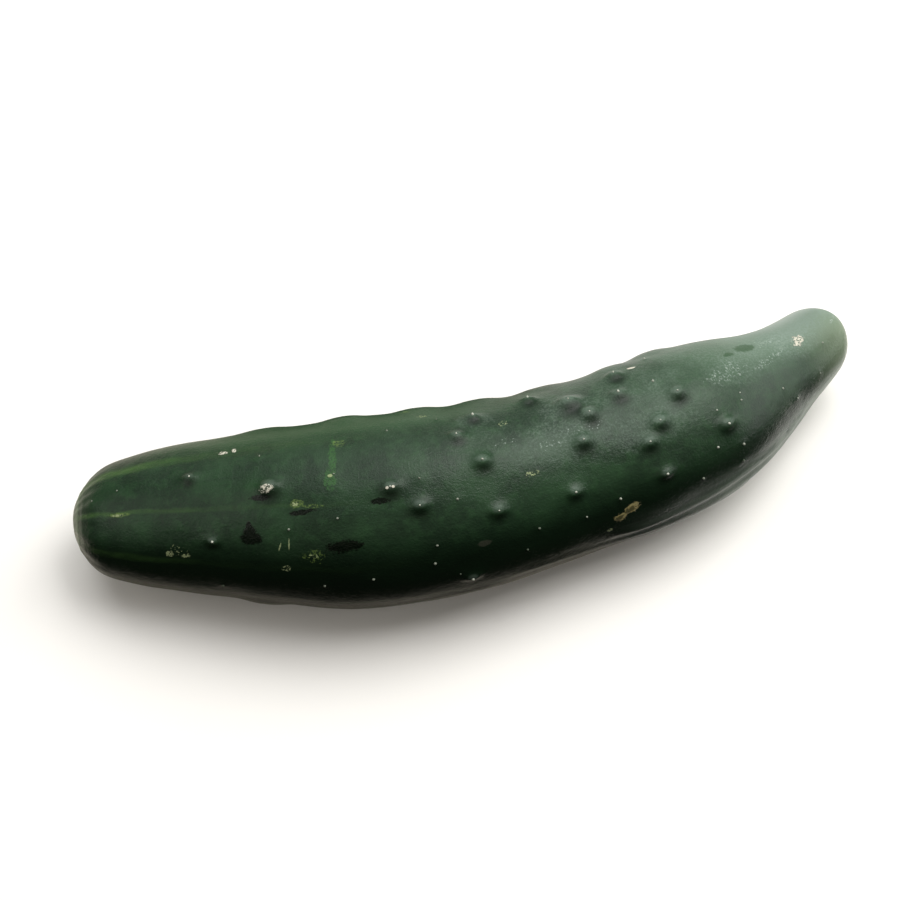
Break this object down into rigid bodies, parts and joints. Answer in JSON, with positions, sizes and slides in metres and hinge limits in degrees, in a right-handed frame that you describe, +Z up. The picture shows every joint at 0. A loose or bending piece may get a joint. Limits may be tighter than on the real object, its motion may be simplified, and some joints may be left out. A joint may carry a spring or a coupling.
{
  "type": "cucumber",
  "caption": "Whole dark green slicing cucumber, gently curved, warty, with a rounded blossom end and a tapering neck at the stem end, lying on its side.",
  "frame": {"origin": "on the surface the cucumber lies on, under the middle of its outline", "axes": "+X along the fruit from the blossom end to the stem end, +Z up; the fruit bows towards -Y"},
  "size_m": [0.2504, 0.0722, 0.0566],
  "materials": {
    "skin": "satin"
  },
  "bodies": {
    "root": {"cucumber": "skin"}
  },
  "joints": []
}
